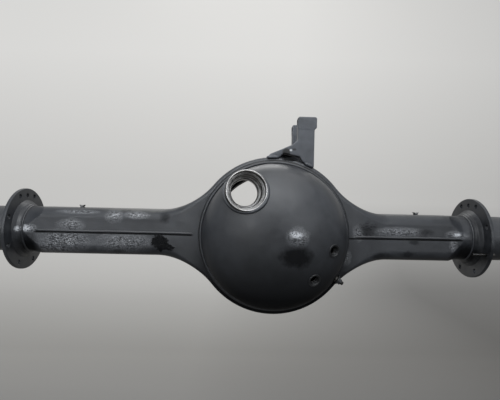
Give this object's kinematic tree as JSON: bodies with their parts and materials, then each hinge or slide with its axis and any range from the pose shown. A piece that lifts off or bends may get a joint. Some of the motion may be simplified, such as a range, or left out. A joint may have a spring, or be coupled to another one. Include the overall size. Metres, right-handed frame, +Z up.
{
  "type": "axle housing",
  "caption": "Banjo axle housing for a through-drive truck axle: pressed halves, domed rear cover with output bearing ring, brake flanges, wheel spindles and a torque rod bracket.",
  "frame": {"origin": "centre of the carrier face at the front of the bowl", "axes": "+Y forward out of the carrier face, +X along the axle to the right in the picture, +Z up"},
  "size_m": [2.022, 0.337, 0.569],
  "materials": {
    "paint": "satin charcoal paint",
    "weld_paint": "paint over weld metal",
    "spindle_steel": "paint at the base, turned steel on the journals",
    "machined_steel": "turned, slightly stained",
    "fittings": "black paint",
    "plated_steel": "dull zinc"
  },
  "bodies": {
    "root": {"upper_half_shell": "paint", "lower_half_shell": "paint", "rear_cover_upper_right": "paint", "rear_cover_upper_left": "paint", "rear_cover_lower_left": "paint", "rear_cover_bottom_right": "paint", "rear_cover_lower_right": "paint", "rear_cover_right": "paint", "cover_weld": "weld_paint", "output_bearing_ring": "machined_steel", "carrier_ring": "machined_steel", "carrier_ring_weld": "weld_paint", "left_spindle": "spindle_steel", "right_spindle": "spindle_steel", "left_brake_flange": "paint", "right_brake_flange": "paint", "left_flange_weld": "weld_paint", "right_flange_weld": "weld_paint", "left_rear_seam_weld": "weld_paint", "right_rear_seam_weld": "weld_paint", "left_front_seam_weld": "weld_paint", "right_front_seam_weld": "weld_paint", "torque_rod_bracket": "paint", "bracket_rear_weld": "weld_paint", "bracket_front_weld": "weld_paint", "left_hose_clip": "fittings", "right_hose_clip": "fittings", "fill_boss": "paint", "sensor_boss": "paint", "hose_tab": "fittings", "tab_bolt": "plated_steel", "tab_nut": "fittings", "flange_stud": "fittings"}
  },
  "joints": []
}
